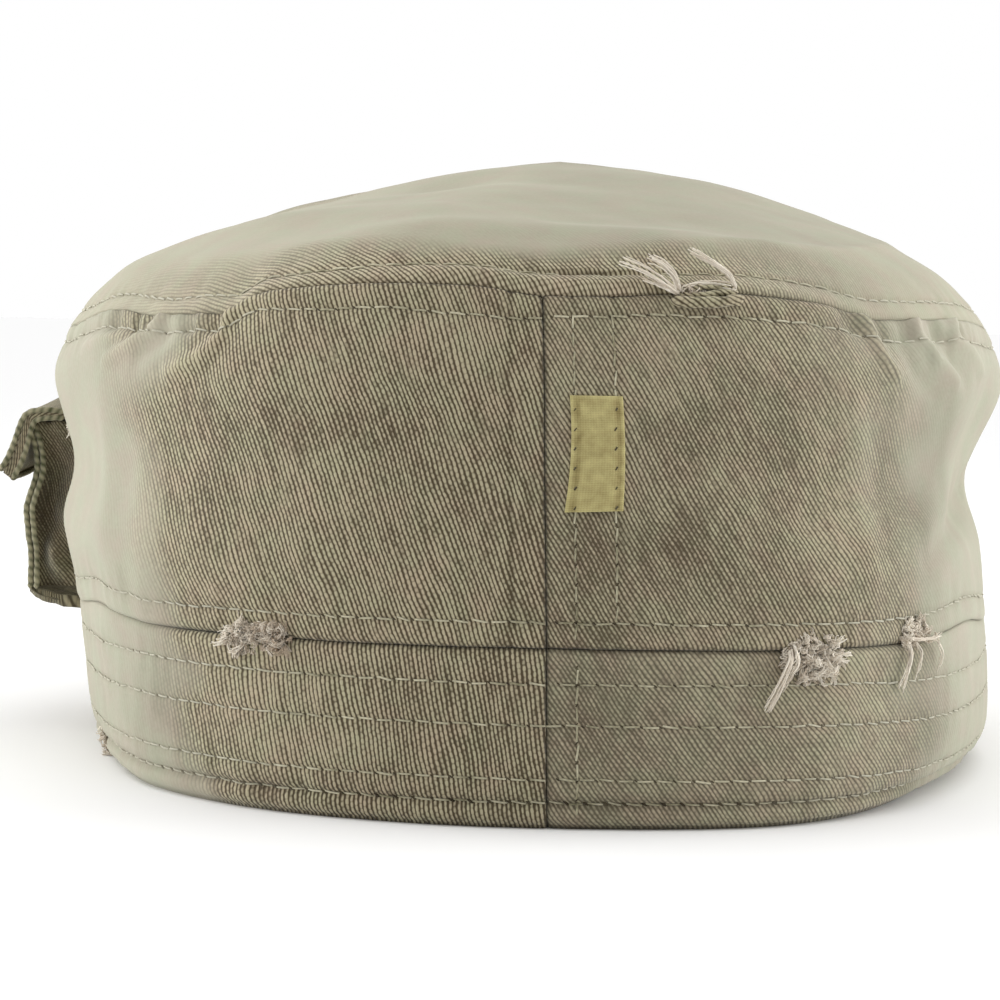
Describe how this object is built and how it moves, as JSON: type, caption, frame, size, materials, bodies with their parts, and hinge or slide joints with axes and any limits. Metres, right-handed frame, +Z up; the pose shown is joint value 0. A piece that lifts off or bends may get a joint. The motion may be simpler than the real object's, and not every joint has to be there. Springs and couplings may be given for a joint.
{
  "type": "cadet cap",
  "caption": "Worn cotton twill cadet cap with a flat oval crown, a deep band, a short stiff peak, a small side pocket with a flap and a woven tab at the back.",
  "frame": {"origin": "middle of the head opening, on the surface that the rim rests on", "axes": "+Z up through the crown, -Y forward over the peak, +X to the wearer's left, where the pocket is"},
  "size_m": [0.1811, 0.2514, 0.1078],
  "materials": {
    "crown_twill": "washed khaki olive cotton twill, faded and slightly fuzzy",
    "band_twill": "washed khaki olive cotton twill in a quilted folded band, frayed in spots",
    "peak_twill": "washed khaki olive cotton twill over a stiff board",
    "pocket_twill": "washed khaki olive cotton twill with rope-like stitched edges",
    "label_weave": "gold satin weave, bare"
  },
  "bodies": {
    "root": {"top_panel": "crown_twill", "back_left_panel": "crown_twill", "front_panel": "crown_twill", "back_right_panel": "crown_twill", "band_left": "band_twill", "band_right": "band_twill", "peak": "peak_twill", "pocket_pouch": "pocket_twill", "pocket_flap": "pocket_twill", "label": "label_weave"}
  },
  "joints": []
}
